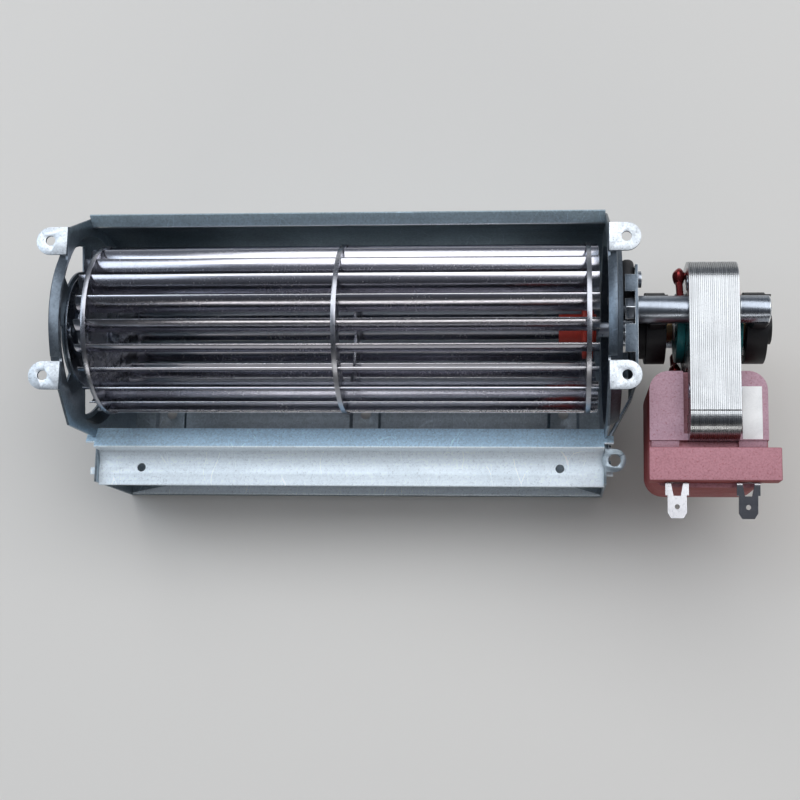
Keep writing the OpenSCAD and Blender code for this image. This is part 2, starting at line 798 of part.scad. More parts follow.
// Closed copper loops round one corner of each pole, each with a welded knob at its outer end
module shading_rings() {
    wire_r = ring_wire / 2;
    x0 = stack_x0 - ring_stand_off;
    x1 = stack_x1 + wire_r;
    color("#b87333") for (ring = shading_at) {
        run = ring[1] - ring[0];
        turn = atan2(run[1], run[0]);
        for (p = ring) bar_x(wire_r - 0.1, x0, x1, p[0], p[1]);
        for (x = [x0, x1]) translate([x, ring[0][0], ring[0][1]]) rotate([turn, 0, 0]) rotate([-90, 0, 0])
            translate([0, 0, -wire_r]) cylinder(r = wire_r, h = norm(run) + ring_wire);
        bar_x(knob_r, x0 - ring_stand_off, x0 + ring_stand_off - 0.2, ring[1][0], ring[1][1]);
    }
}

// Space round the core bar, inside the cover's walls
module winding_space(shrink) {
    inner = cover_wall + shrink;
    core = cover_core + shrink;
    translate([0, 0, shrink - winding_z]) linear_extrude(2 * (winding_z - shrink)) difference() {
        round_rect(cover_x0 + inner, cover_y0 + inner, cover_x1 - inner, cover_y1 - inner, cover_r - inner);
        translate([stack_x0 - core, bar_y - core]) square([stack_t + 2 * core, bar_w + 2 * core]);
    }
}

module coil_winding() {
    color("#b87333") winding_space(0.2);
}

// Moulded cover round the winding, open along Z for the core bar
module coil_cover() {
    color("indianred") difference() {
        union() {
            translate([0, 0, -cover_z]) linear_extrude(cover_z + cover_step_z)
                round_rect(cover_x0, cover_y0, cover_x1, cover_y1, cover_r);
            intersection() {
                translate([0, 0, cover_step_z - e]) linear_extrude(cover_z - cover_step_z + e)
                    round_rect(cover_x0, cover_y0, cover_x1, cover_y1, cover_r);
                box([cover_x0, bar_y + 0.2, 0], [cover_x1, cover_y1, cover_z]);
            }
            for (x = [cover_x0 + 0.6, cover_x1 - 0.6 - ledge_l]) along_x(x, x + ledge_l) polygon([
                [bar_y + 1, cover_step_z - e], [bar_y + 1, cover_z - 0.5], [bar_y, cover_z - 0.5],
                [block_y1 + 0.8, cover_step_z + 0.8], [block_y1 + 0.8, cover_step_z - e]
            ]);
        }
        winding_space(0);
        box([stack_x0 - seat_gap, bar_y - seat_gap, -20], [stack_x1 + seat_gap, seam_y + seat_gap, 20]);
    }
}

// Tab terminal: flat root in the block, then a shoulder and a blade that may droop
module terminal(x, droop) {
    bend_y = block_y0 - 0.8;
    shoulder = terminal_w / 2 + 0.7;
    root_l = 6.8;
    reach = 11.2;
    far = [bend_y - reach * cos(droop), terminal_z - reach * sin(droop)];
    intersection() {
        along_x(x - shoulder - 1, x + shoulder + 1) polygon([
            [bend_y + root_l, terminal_z], [bend_y, terminal_z], far,
            far + terminal_t * [-sin(droop), cos(droop)],
            [bend_y - terminal_t * tan(droop / 2), terminal_z + terminal_t],
            [bend_y + root_l, terminal_z + terminal_t]
        ]);
        translate([x, bend_y, terminal_z - reach]) linear_extrude(2 * reach) difference() {
            both_sides([
                [shoulder, root_l + 1], [shoulder, -3.6], [terminal_w / 2, -3.6],
                [terminal_w / 2, -9.4], [terminal_w / 2 - 1.2, -reach - 0.1]
            ]);
            polygon([[-2, 0.4], [-1.2, -3.8], [1.2, -3.8], [2, 0.4]]);
            translate([0, -7.4]) circle(r = 0.85);
        }
    }
}

// Moulded block on top of the cover that holds both terminals
module terminal_block() {
    color("indianred") difference() {
        box([block_x0, block_y0, cover_step_z], [block_x0 + block_l, block_y1, block_top]);
        for (x = [terminal_x, terminal_x + terminal_pitch])
            translate([x, block_y0 + 3, terminal_z + terminal_t / 2]) cube([
                terminal_w + 1.4 + 2 * seat_gap, 6 + 2 * seat_gap, terminal_t + 2 * seat_gap], center = true);
    }
}

module left_terminal() {
    color("gainsboro") terminal(terminal_x, 0);
}

module right_terminal() {
    color("gainsboro") terminal(terminal_x + terminal_pitch, terminal_droop);
}

module blank_label() {
    color("white") translate([stack_x1 + 1.2, bar_y + 0.6, cover_z]) cube([6.6, 17.8, 0.15]);
}

in_frame() {
    left_end_plate();
    right_end_plate();
    scroll_sheet();
    tongue_sheet();
    bearing_cup();
    cup_rivets();
    bearing_rubber();
    impeller_bearing();
    stub_axle();
    left_disc();
    middle_disc();
    right_disc();
    blades();
    silicone_hub();
    hub_sleeve();
    motor_shaft();
    rotor_core();
    rotor_end_rings();
    thrust_washers();
    motor_bridge();
    bridge_rivets();
    rubber_buffers();
    buffer_screws();
    buffer_nuts();
    front_spacer_tubes();
    through_screws();
    through_nuts();
    rear_post_nuts();
    front_bearing_bracket();
    rear_bearing_bracket();
    front_bearing();
    rear_bearing();
    oil_felts();
    felt_retainers();
    stator_core();
    coil_core_bar();
    core_rivets();
    shading_rings();
    coil_winding();
    coil_cover();
    terminal_block();
    left_terminal();
    right_terminal();
    blank_label();
}
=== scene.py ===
import json
import math
import random

import bpy
from mathutils import Matrix, Vector

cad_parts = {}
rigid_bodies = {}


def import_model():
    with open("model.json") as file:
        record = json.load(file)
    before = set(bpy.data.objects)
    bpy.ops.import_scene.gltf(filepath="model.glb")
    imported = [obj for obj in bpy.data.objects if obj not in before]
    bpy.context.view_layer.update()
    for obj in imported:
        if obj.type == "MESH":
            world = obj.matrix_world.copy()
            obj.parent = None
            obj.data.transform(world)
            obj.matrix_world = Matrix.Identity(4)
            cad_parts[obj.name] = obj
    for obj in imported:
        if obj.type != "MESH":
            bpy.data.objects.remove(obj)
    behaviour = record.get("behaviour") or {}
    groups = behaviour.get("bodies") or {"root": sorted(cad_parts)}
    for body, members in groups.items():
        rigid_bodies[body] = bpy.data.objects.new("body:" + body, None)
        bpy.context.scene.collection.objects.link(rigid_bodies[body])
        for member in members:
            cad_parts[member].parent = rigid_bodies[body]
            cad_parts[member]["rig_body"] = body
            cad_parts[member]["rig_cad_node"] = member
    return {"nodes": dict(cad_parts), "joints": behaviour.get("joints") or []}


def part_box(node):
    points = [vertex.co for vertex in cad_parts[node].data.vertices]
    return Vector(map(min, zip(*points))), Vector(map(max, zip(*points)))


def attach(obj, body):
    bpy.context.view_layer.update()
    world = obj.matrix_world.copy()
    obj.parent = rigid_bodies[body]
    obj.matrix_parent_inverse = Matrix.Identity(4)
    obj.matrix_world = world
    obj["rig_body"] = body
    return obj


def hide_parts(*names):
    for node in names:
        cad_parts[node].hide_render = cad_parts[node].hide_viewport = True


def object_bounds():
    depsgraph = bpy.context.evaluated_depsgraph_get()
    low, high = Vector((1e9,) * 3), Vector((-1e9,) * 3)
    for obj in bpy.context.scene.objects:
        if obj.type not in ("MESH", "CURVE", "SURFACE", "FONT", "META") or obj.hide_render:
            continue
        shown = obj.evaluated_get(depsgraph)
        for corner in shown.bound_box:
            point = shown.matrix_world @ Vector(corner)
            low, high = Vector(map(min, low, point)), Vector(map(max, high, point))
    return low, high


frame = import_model()
bpy.ops.object.select_all(action="DESELECT")
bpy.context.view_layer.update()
mm = 0.001

# The studio: a pale floor that the fan lies on, soft lamps round it, and a grey surround, darker in front.
# The camera stands where the photograph was taken from, above the right end and a little in front.
FLOOR_SIZE = 8
FLOOR_COLOUR = (0.72, 0.70, 0.67, 1)
FLOOR_ROUGH = 0.9
CAMERA_AT = Vector((73.2, -110.25, 416.4)) * mm
CAMERA_TURN = (0.1558, 0.0684, 0.0022)
CAMERA_SENSOR = 36
CAMERA_LENS = 58.74
CAMERA_SHIFT = (-0.08, 0.05)
# Each lamp's place, its width and height, its power and its colour.
LAMPS = {
    "overhead_panel": ((0.33, 0.80, 1.6), (3.0, 1.6), 35.0, (0.98, 0.99, 1.0)),
    "left_window": ((-1.3, 0.45, 1.2), (1.0, 1.2), 8.0, (0.80, 0.90, 1.0)),
    "front_card": ((0.1, -1.6, 0.75), (2.2, 0.25), 5.5, (1.0, 0.97, 0.93)),
}
# The surround's colour at the horizon, part of the way up and straight overhead.
SKY = (
    (0.0, (0.30, 0.32, 0.35, 1)),
    (0.3, (0.14, 0.155, 0.18, 1)),
    (1.0, (0.17, 0.185, 0.22, 1)),
)
# The surround's strength in front, and the range of directions over which it falls to that.
FRONT_SHADE = 0.22
FRONT_REACH = (-0.6, 0.1)


def add(tree, kind, settings=None, inputs=None):
    """A shader node with its settings made and its sockets filled or linked."""
    node = tree.nodes.new(kind)
    for key, value in (settings or {}).items():
        setattr(node, key, value)
    for key, value in (inputs or {}).items():
        if isinstance(value, bpy.types.NodeSocket):
            tree.links.new(value, node.inputs[key])
        else:
            node.inputs[key].default_value = value
    return node


def new_material(name):
    """An empty node material with its Principled BSDF and the Object coordinates it starts from."""
    material = bpy.data.materials.new(name)
    material.use_nodes = True
    tree = material.node_tree
    return material, tree, tree.nodes["Principled BSDF"], add(tree, "ShaderNodeTexCoord").outputs["Object"]


def noise(tree, place, scale, detail, **more):
    """A soft random value over the surface."""
    sockets = {"Vector": place, "Scale": scale, "Detail": detail, **more}
    return add(tree, "ShaderNodeTexNoise", inputs=sockets).outputs["Fac"]


def ranged(tree, value, low, high, source=(0.0, 1.0)):
    """A value that runs from low to high as another goes through its source range."""
    sockets = {"Value": value, "From Min": source[0], "From Max": source[1], "To Min": low, "To Max": high}
    return add(tree, "ShaderNodeMapRange", inputs=sockets).outputs["Result"]


def embossed(tree, bsdf, height, strength, depth):
    """Shows a height as fine relief."""
    relief = add(tree, "ShaderNodeBump", inputs={"Strength": strength, "Distance": depth, "Height": height})
    tree.links.new(relief.outputs["Normal"], bsdf.inputs["Normal"])


bpy.context.scene.view_settings.view_transform = "Standard"
world = bpy.data.worlds.new("studio")
world.use_nodes = True
tree = world.node_tree
background = tree.nodes["Background"]
ray = add(tree, "ShaderNodeTexCoord").outputs["Generated"]
direction = add(tree, "ShaderNodeSeparateXYZ", inputs={"Vector": ray})
sky = add(tree, "ShaderNodeValToRGB", inputs={"Fac": direction.outputs["Z"]})
stops = sky.color_ramp.elements
for stop, (height, colour) in zip((stops[0], stops.new(SKY[1][0]), stops[-1]), SKY):
    stop.position, stop.color = height, colour
tree.links.new(sky.outputs["Color"], background.inputs["Color"])
front = ranged(tree, direction.outputs["Y"], FRONT_SHADE, 1.0, source=FRONT_REACH)
tree.links.new(front, background.inputs["Strength"])
bpy.context.scene.world = world

for lamp_name, (place, size, power, colour) in LAMPS.items():
    bpy.ops.object.light_add(type="AREA", location=place)
    lamp = bpy.context.object
    lamp.name = lamp_name
    lamp.data.shape = "RECTANGLE"
    lamp.data.size, lamp.data.size_y = size
    lamp.data.energy = power
    lamp.data.color = colour
    lamp.rotation_euler = (-Vector(place)).to_track_quat("-Z", "Y").to_euler()

bpy.ops.mesh.primitive_plane_add(size=FLOOR_SIZE, location=(0, 0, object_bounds()[0].z))
floor = bpy.context.object
floor.name = "studio_floor"
floor.data.transform(floor.matrix_world)
floor.matrix_world = Matrix.Identity(4)
floor_paint, tree, bsdf, place = new_material("pale_floor")
bsdf.inputs["Base Color"].default_value = FLOOR_COLOUR
bsdf.inputs["Roughness"].default_value = FLOOR_ROUGH
embossed(tree, bsdf, noise(tree, place, scale=900.0, detail=3.0), strength=0.08, depth=0.2 * mm)
floor.data.materials.append(floor_paint)

camera_data = bpy.data.cameras.new("camera")
camera_data.sensor_width = CAMERA_SENSOR
camera_data.lens = CAMERA_LENS
camera_data.shift_x, camera_data.shift_y = CAMERA_SHIFT
camera = bpy.data.objects.new("camera", camera_data)
bpy.context.scene.collection.objects.link(camera)
camera.rotation_mode = "ZYX"
camera.location = CAMERA_AT
camera.rotation_euler = CAMERA_TURN
bpy.context.scene.camera = camera


# The housing: end plates, scroll and tongue, punched and folded from 0.8 mm galvanised strip.
# Zinc gives it crystal patches, the mill leaves fine lines, and handling leaves dull smudges and scratches.
SHEET_EDGE = 0.14 * mm
ZINC = {"tone": (0.31, 0.365, 0.41), "roughness": 0.33}
# A lighter copy of the zinc: painted light on the tabs' upward faces.
LIT_TAB_ZINC = {"tone": (0.62, 0.66, 0.70), "roughness": 0.40, "speck": 0.35}
# A much lighter, less metallic copy of the zinc: painted light on the lips that face the lamp.
LIT_LIP_ZINC = {"tone": (0.84, 0.93, 1.0), "roughness": 0.55, "speck": 0.2, "metallic": 0.25, "smudge": 0.05,
            "spangle_depth": 0.07}
# A bluish lighter copy of the zinc: painted sky reflection on the tongue's sloped faces.
SKY_LIT_STRIP_ZINC = {"tone": (0.56, 0.78, 0.96), "roughness": 0.42, "speck": 0.2, "metallic": 0.5}
# A lighter copy of the zinc: painted light on the scroll's top flange.
LIT_FLANGE_ZINC = {"tone": (0.40, 0.51, 0.58), "roughness": 0.4, "speck": 0.2, "metallic": 0.4}
# A lighter copy of the zinc: painted light on the scroll's upward floor faces.
LIT_FLOOR_ZINC = {"tone": (0.44, 0.50, 0.545), "roughness": 0.38}
# A darker copy of the zinc: painted shade on the plates' outward and upward faces and on the motor's bridge.
SHADED_ZINC = {"tone": (0.14, 0.17, 0.205), "roughness": 0.36}
# A near-white copy: painted highlight on broken edges, on the flange's fold and on the buffer nuts.
EDGE_HIGHLIGHT = {"tone": (0.80, 0.84, 0.87), "roughness": 0.28, "spangle_depth": 0.04, "line_depth": 0.05,
          "speck": 0.0, "smudge": 0.05}
# Where the painted light and shade on a sheet change, as lines in Y and Z: the lips and the earth lug lie in
# front of the first.
LIP_Y = -44 * mm
TAB_Y, TAB_Z = 17.5 * mm, -2 * mm
SCROLL_FLOOR_Z = -70 * mm
FLANGE_Y, FLANGE_Z = 30 * mm, -24 * mm
BEND_LINE = Vector((0, 35.83, -22.43)) * mm
BEND_REACH = 1.4 * mm
# How far a face has to be turned upwards, outwards, backwards or sideways to count as that.
LEVEL, SLOPED_UP, TURNED_UP = 0.9, 0.5, 0.2
TURNED_OUT, TURNED_BACK, SIDEWAYS = 0.15, 0.3, 0.5
# Hairline scratches wander by this much, run mostly along Y, and are this wide for the size of their cells.
SCRATCH_WANDER = (0.006, 0.006, 0.006)
SCRATCH_STRETCH = (1.0, 0.16, 0.5)
SCRATCH_WIDTH = 0.012
# What mill lines, smudges and specks do to the roughness.
LINE_ROUGH = (0.8, 1.2)
SMUDGE_ROUGH = 1.35
SPECK_ROUGH = 1.25
# Points nearer than this are one point, and faces that meet at less than this many degrees are one face.
SAME_POINT = 0.001 * mm
SAME_FACE = 0.4


def product(tree, *factors):
    """Values multiplied together."""
    total = factors[0]
    for factor in factors[1:]:
        total = add(tree, "ShaderNodeMath", {"operation": "MULTIPLY"}, {0: total, 1: factor}).outputs[0]
    return total


def stretched(tree, place, factors):
    """A place with its X, Y and Z each multiplied by a factor."""
    return add(tree, "ShaderNodeVectorMath", {"operation": "MULTIPLY"}, {0: place, 1: factors}).outputs[0]


def new_group(name, output, **values):
    """A shader node group that makes one value from a Vector and named values, and its two ends' sockets."""
    group = bpy.data.node_groups.new(name, "ShaderNodeTree")
    group.interface.new_socket("Vector", in_out="INPUT", socket_type="NodeSocketVector")
    for socket, value in values.items():
        kind = "NodeSocketVector" if isinstance(value, tuple) else "NodeSocketFloat"
        group.interface.new_socket(socket, in_out="INPUT", socket_type=kind).default_value = value
    group.interface.new_socket(output, in_out="OUTPUT", socket_type="NodeSocketFloat")
    return group, group.nodes.new("NodeGroupInput").outputs, group.nodes.new("NodeGroupOutput").inputs


spangle, given, out = new_group("zinc_spangle", "Shade", Scale=200.0)
crystals = add(spangle, "ShaderNodeTexVoronoi", inputs={"Vector": given["Vector"], "Scale": given["Scale"]})
spangle.links.new(crystals.outputs["Color"], out["Shade"])

rolling, given, out = new_group("rolling_lines", "Shade", Along=(0.03, 1, 1), Scale=900.0)
drawn = stretched(rolling, given["Vector"], given["Along"])
rolling.links.new(noise(rolling, drawn, given["Scale"], detail=4.0), out["Shade"])

smudges, given, out = new_group("handling_smudges", "Mask", Scale=60.0)
cloud = noise(smudges, given["Vector"], given["Scale"], detail=6.0, Roughness=0.65, Distortion=0.6)
smudges.links.new(ranged(smudges, cloud, 0, 1, source=(0.42, 0.72)), out["Mask"])

specks, given, out = new_group("dark_specks", "Mask", Scale=900.0)
grit = noise(specks, given["Vector"], given["Scale"], detail=2.0, Roughness=0.7)
specks.links.new(ranged(specks, grit, 0, 1, source=(0.56, 0.70)), out["Mask"])

scratches, given, out = new_group("hairline_scratches", "Mask", Scale=120.0)
wander = add(scratches, "ShaderNodeTexNoise",
             inputs={"Vector": given["Vector"], "Scale": 90.0, "Detail": 1.0}).outputs["Color"]
bent = add(scratches, "ShaderNodeVectorMath", {"operation": "MULTIPLY_ADD"},
           {0: wander, 1: SCRATCH_WANDER, 2: given["Vector"]}).outputs[0]
drawn = stretched(scratches, bent, SCRATCH_STRETCH)
cells = add(scratches, "ShaderNodeTexVoronoi", {"feature": "DISTANCE_TO_EDGE"},
            {"Vector": drawn, "Scale": given["Scale"], "Randomness": 1.0})
hairs = ranged(scratches, cells.outputs["Distance"], 1.0, 0.0, source=(0.0, SCRATCH_WIDTH))
patches = noise(scratches, given["Vector"], scale=70.0, detail=1.0)
scratched = ranged(scratches, patches, 0, 1, source=(0.52, 0.60))
scratches.links.new(product(scratches, hairs, scratched), out["Mask"])


def mask_from(tree, group, place, **values):
    """Places a shared effect in a material and gives its output."""
    return add(tree, "ShaderNodeGroup", {"node_tree": group}, {"Vector": place, **values}).outputs[0]


def shaded(tree, tone, shade):
    """A tone made lighter or darker by a value about 1."""
    return add(tree, "ShaderNodeVectorMath", {"operation": "SCALE"}, {0: tone, "Scale": shade}).outputs[0]


def sheet_metal(name, tone, roughness, spangle_depth=0.16, line_depth=0.14, along=(0.03, 1, 1), lines=900.0,
                smudge=0.14, speck=0.12, scratch=0.35, relief_depth=0.04 * mm, metallic=1.0):
    """Rolled metal: crystal patches, mill lines, specks, scratches and smudges change its tone and gloss.

    A chalky, passivated skin has a metallic value under 1; the lit copies use it so that their painted light
    reads evenly."""
    material, tree, bsdf, place = new_material(name)
    patch = mask_from(tree, spangle, place, Scale=1600.0)
    line = mask_from(tree, rolling, place, Along=along, Scale=lines)
    dull = mask_from(tree, smudges, place, Scale=55.0)
    fleck = mask_from(tree, specks, place, Scale=1300.0)
    hair = mask_from(tree, scratches, place, Scale=130.0)
    shade = product(tree, ranged(tree, patch, 1 - spangle_depth, 1 + spangle_depth),
                    ranged(tree, line, 1 - line_depth, 1 + line_depth), ranged(tree, dull, 1, 1 - smudge),
                    ranged(tree, fleck, 1, 1 - speck), ranged(tree, hair, 1, 1 + scratch))
    tree.links.new(shaded(tree, tone, shade), bsdf.inputs["Base Color"])
    rough = product(tree, ranged(tree, line, roughness * LINE_ROUGH[0], roughness * LINE_ROUGH[1]),
                    ranged(tree, dull, 1, SMUDGE_ROUGH), ranged(tree, fleck, 1, SPECK_ROUGH))
    tree.links.new(rough, bsdf.inputs["Roughness"])
    embossed(tree, bsdf, line, strength=0.12, depth=relief_depth)
    bsdf.inputs["Metallic"].default_value = metallic
    return material


def pick(piece):
    """Selects one object, and nothing else, for the next operator."""
    bpy.ops.object.select_all(action="DESELECT")
    piece.select_set(True)
    bpy.context.view_layer.objects.active = piece


def loose_copy(node, name, merged=True):
    """A copy of a CAD piece with its own mesh and joined points; merged makes each flat face one face."""
    bare = frame["nodes"][node]
    piece = bare.copy()
    piece.data = bare.data.copy()
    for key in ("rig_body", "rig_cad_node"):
        del piece[key]
    piece.parent = None
    piece.name = name
    bpy.context.scene.collection.objects.link(piece)
    piece.data.materials.clear()
    pick(piece)
    bpy.ops.mesh.customdata_custom_splitnormals_clear()
    bpy.ops.object.mode_set(mode="EDIT")
    bpy.ops.mesh.select_all(action="SELECT")
    bpy.ops.mesh.remove_doubles(threshold=SAME_POINT)
    if merged:
        bpy.ops.mesh.dissolve_limited(angle_limit=math.radians(SAME_FACE))
    bpy.ops.object.mode_set(mode="OBJECT")
    return piece


def stands_for(piece, node):
    """Makes a finished piece ride on its CAD piece's body and stand for it."""
    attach(piece, frame["nodes"][node]["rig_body"])
    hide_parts(node)


def cut_box(piece, low, high):
    """Takes a box out of a piece."""
    bpy.ops.mesh.primitive_cube_add(size=1)
    cutter = bpy.context.object
    for vertex in cutter.data.vertices:
        vertex.co = Vector([high[i] if vertex.co[i] > 0 else low[i] for i in range(3)])
    bpy.context.view_layer.objects.active = piece
    hollow = piece.modifiers.new("cut", "BOOLEAN")
    hollow.object, hollow.operation, hollow.solver = cutter, "DIFFERENCE", "EXACT"
    bpy.ops.object.modifier_apply(modifier=hollow.name)
    bpy.data.objects.remove(cutter)


def sharp_edges(mesh, angle):
    """The numbers of the edges at which two faces meet at more than an angle."""
    sides = {}
    for face in mesh.polygons:
        for loop in face.loop_indices:
            sides.setdefault(mesh.loops[loop].edge_index, []).append(face.normal.copy())
    return {edge for edge, pair in sides.items() if len(pair) == 2 and pair[0].angle(pair[1], 0) > angle}


def dressed(node, materials, edge, segments=2, angle=30, soft=None, cuts=(), slices=(), reshape=None):
    """A merged copy of a CAD piece with its edges broken; a second material is for the broken edges.

    soft gives each sharp edge its share of the width, cuts are boxes taken out, slices are places along X
    that get a ring of points, reshape moves points."""
    piece = loose_copy(node, node + "_finished")
    for material in materials:
        piece.data.materials.append(material)
    for low, high in cuts:
        cut_box(piece, low, high)
    for x in slices:
        bpy.ops.object.mode_set(mode="EDIT")
        bpy.ops.mesh.select_all(action="SELECT")
        bpy.ops.mesh.bisect(plane_co=(x, 0, 0), plane_no=(1, 0, 0))
        bpy.ops.object.mode_set(mode="OBJECT")
    if reshape:
        for vertex in piece.data.vertices:
            vertex.co = reshape(vertex.co)
    pick(piece)
    bevel = piece.modifiers.new("broken_edge", "BEVEL")
    bevel.width = edge
    bevel.segments = segments
    bevel.limit_method = "ANGLE"
    bevel.angle_limit = math.radians(angle)
    bevel.material = min(1, len(materials) - 1)
    if soft:
        bevel.limit_method = "WEIGHT"
        weights = piece.data.attributes.new("bevel_weight_edge", "FLOAT", "EDGE")
        sharp = sharp_edges(piece.data, math.radians(angle))
        for line in piece.data.edges:
            ends = [piece.data.vertices[i].co for i in line.vertices]
            weights.data[line.index].value = soft((ends[0] + ends[1]) / 2) if line.index in sharp else 0.0
    bpy.ops.object.modifier_apply(modifier=bevel.name)
    bpy.ops.object.shade_smooth_by_angle(angle=math.radians(angle))
    stands_for(piece, node)
    return piece


def repaint(piece, material, chosen):
    """Gives the faces that chosen(centre, normal) picks another material."""
    piece.data.materials.append(material)
    last = len(piece.data.materials) - 1
    for face in piece.data.polygons:
        if chosen(face.center, face.normal):
            face.material_index = last


def on_bend(at, up):
    """The fold along the scroll's flange, which gets a painted highlight."""
    return (Vector((0, at.y, at.z)) - BEND_LINE).length < BEND_REACH and abs(up.x) < SIDEWAYS


zinc = sheet_metal("galvanised_sheet", **ZINC)
lit_tab_zinc = sheet_metal("lit_tab_galvanised_sheet", **LIT_TAB_ZINC)
lit_lip_zinc = sheet_metal("lit_lip_galvanised_sheet", **LIT_LIP_ZINC)
sky_lit_strip_zinc = sheet_metal("sky_lit_strip_galvanised_sheet", **SKY_LIT_STRIP_ZINC)
lit_flange_zinc = sheet_metal("lit_flange_galvanised_sheet", **LIT_FLANGE_ZINC)
lit_floor_zinc = sheet_metal("lit_floor_galvanised_sheet", **LIT_FLOOR_ZINC)
shaded_zinc = sheet_metal("shaded_galvanised_sheet", **SHADED_ZINC)
painted_edge_highlight = sheet_metal("painted_edge_highlight", **EDGE_HIGHLIGHT)
for node, outward in (("left_end_plate", -1), ("right_end_plate", 1)):
    plate = dressed(node, [zinc, painted_edge_highlight], SHEET_EDGE)
    # Painted shade on the plates' outward and upward faces.
    repaint(plate, shaded_zinc, lambda at, up: at.y > LIP_Y and (
        up.x * outward > TURNED_OUT or up.z > TURNED_UP))
    # Painted light on the tabs' upward faces.
    repaint(plate, lit_tab_zinc, lambda at, up: up.z > LEVEL and at.z > TAB_Z and abs(at.y) > TAB_Y)
scroll = dressed("scroll_sheet", [zinc, painted_edge_highlight], SHEET_EDGE)
# Painted light on the scroll's upward floor faces.
repaint(scroll, lit_floor_zinc, lambda at, up: up.z > LEVEL and at.z < SCROLL_FLOOR_Z)
# Painted light on the lower lip's upward faces.
repaint(scroll, lit_lip_zinc, lambda at, up: up.z > LEVEL and at.y < LIP_Y)
# Painted light on the scroll's top flange.
repaint(scroll, lit_flange_zinc, lambda at, up: at.z > FLANGE_Z and at.y > FLANGE_Y)
# A painted highlight along the flange's fold.
repaint(scroll, painted_edge_highlight, on_bend)
# The tongue is the lit lip copy all over: painted light.
tongue = dressed("tongue_sheet", [lit_lip_zinc, painted_edge_highlight], SHEET_EDGE)
# A painted sky reflection on the tongue's sloped, upward faces.
repaint(tongue, sky_lit_strip_zinc, lambda at, up: up.y > TURNED_BACK and up.z > SLOPED_UP)


# The impeller: curved strips of hard aluminium, pushed through slots in three discs and staked.
# Coil stock is rolled bright, so the strips mirror the room in streaks that run their whole length.
BLADE_EDGE = 0.14 * mm
DISC_EDGE = 0.1 * mm
BLADE = {"tone": (0.54, 0.535, 0.59), "roughness": 0.20, "spangle_depth": 0.02, "line_depth": 0.10,
         "along": (0.01, 1, 1), "lines": 1500.0, "smudge": 0.10, "speck": 0.06, "scratch": 0.1,
         "relief_depth": 0.06 * mm}
# A near-white copy of the blade metal: painted highlight on the blades' broken edges.
BLADE_HIGHLIGHT = {"tone": (0.86, 0.86, 0.88), "roughness": 0.22, "spangle_depth": 0.0, "line_depth": 0.04,
             "speck": 0.0, "smudge": 0.05}
DISC = {"tone": (0.40, 0.41, 0.45), "roughness": 0.26, "spangle_depth": 0.03, "line_depth": 0.03,
        "along": (1, 1, 1), "lines": 700.0, "smudge": 0.12, "speck": 0.03}
blade_metal = sheet_metal("bright_aluminium", **BLADE)
blade_edge_highlight = sheet_metal("painted_blade_edge_highlight", **BLADE_HIGHLIGHT)
disc_metal = sheet_metal("disc_aluminium", **DISC)
dressed("blades", [blade_metal, blade_edge_highlight], BLADE_EDGE)
for node in ("left_disc", "middle_disc", "right_disc"):
    dressed(node, [disc_metal], DISC_EDGE)


# The left bearing: a pressed cup riveted to the dish, with a rubber ring, a sintered bush and the stub axle.
# Turned and headed steel is zinc plated, and the lathe leaves fine rings round it.
TURNED_EDGE = 0.15 * mm
RUBBER_EDGE = 0.3 * mm
STEEL = {"tone": (0.34, 0.375, 0.43), "roughness": 0.25, "spangle_depth": 0.04, "line_depth": 0.12,
         "along": (1, 0.05, 0.05), "lines": 1400.0, "smudge": 0.16}
# How far a face looks up where the dust and painted sheen begin and where they are full, and how rough the
# dust is.
DUST_AND_SHEEN_SLOPE = (0.2, 0.95)
DUST_ROUGH = 0.7
# A Mix node's two inputs and its output, for each kind of data.
MIX_SOCKETS = {"RGBA": (6, 7, 2), "FLOAT": (2, 3, 0)}


def mixed(tree, kind, share, first, second):
    """A colour or value that goes from the first to the second with the share."""
    one, two, result = MIX_SOCKETS[kind]
    node = add(tree, "ShaderNodeMix", {"data_type": kind}, {0: share, one: first, two: second})
    return node.outputs[result]


def moulding(name, tone, roughness, speckle=0.2, grain_scale=2500.0, depth=0.05 * mm, metallic=0.0, dust_and_sheen=0.0,
             dust_and_sheen_tone=(0.5, 0.5, 0.5), gloss=0.5):
    """A coloured solid with a fine grain, and dust with a painted sheen that makes what faces up lighter."""
    material, tree, bsdf, place = new_material(name)
    grain = ranged(tree, noise(tree, place, grain_scale, detail=3.0), 0, 1, source=(0.33, 0.67))
    dull = mask_from(tree, smudges, place, Scale=90.0)
    shade = product(tree, ranged(tree, grain, 1 - speckle, 1 + speckle), ranged(tree, dull, 1.05, 0.88))
    colour = shaded(tree, tone, shade)
    rough = ranged(tree, dull, roughness, min(1, roughness * 1.3))
    if dust_and_sheen:
        facing = add(tree, "ShaderNodeTexCoord").outputs["Normal"]
        upward = add(tree, "ShaderNodeSeparateXYZ", inputs={"Vector": facing}).outputs["Z"]
        fleck = mask_from(tree, specks, place, Scale=1250.0)
        dust_and_sheen_share = product(tree, ranged(tree, upward, 0.0, 1.0, source=DUST_AND_SHEEN_SLOPE),
                          ranged(tree, grain, 0.8 * dust_and_sheen, dust_and_sheen), ranged(tree, fleck, 1.0, 0.55),
                          ranged(tree, dull, 1.0, 0.9))
        colour = mixed(tree, "RGBA", dust_and_sheen_share, colour, (*dust_and_sheen_tone, 1))
        rough = mixed(tree, "FLOAT", dust_and_sheen_share, rough, DUST_ROUGH)
    tree.links.new(colour, bsdf.inputs["Base Color"])
    tree.links.new(rough, bsdf.inputs["Roughness"])
    embossed(tree, bsdf, grain, strength=0.4, depth=depth)
    bsdf.inputs["Metallic"].default_value = metallic
    bsdf.inputs["Specular IOR Level"].default_value = gloss
    return material


turned_steel = sheet_metal("plated_steel", **STEEL)
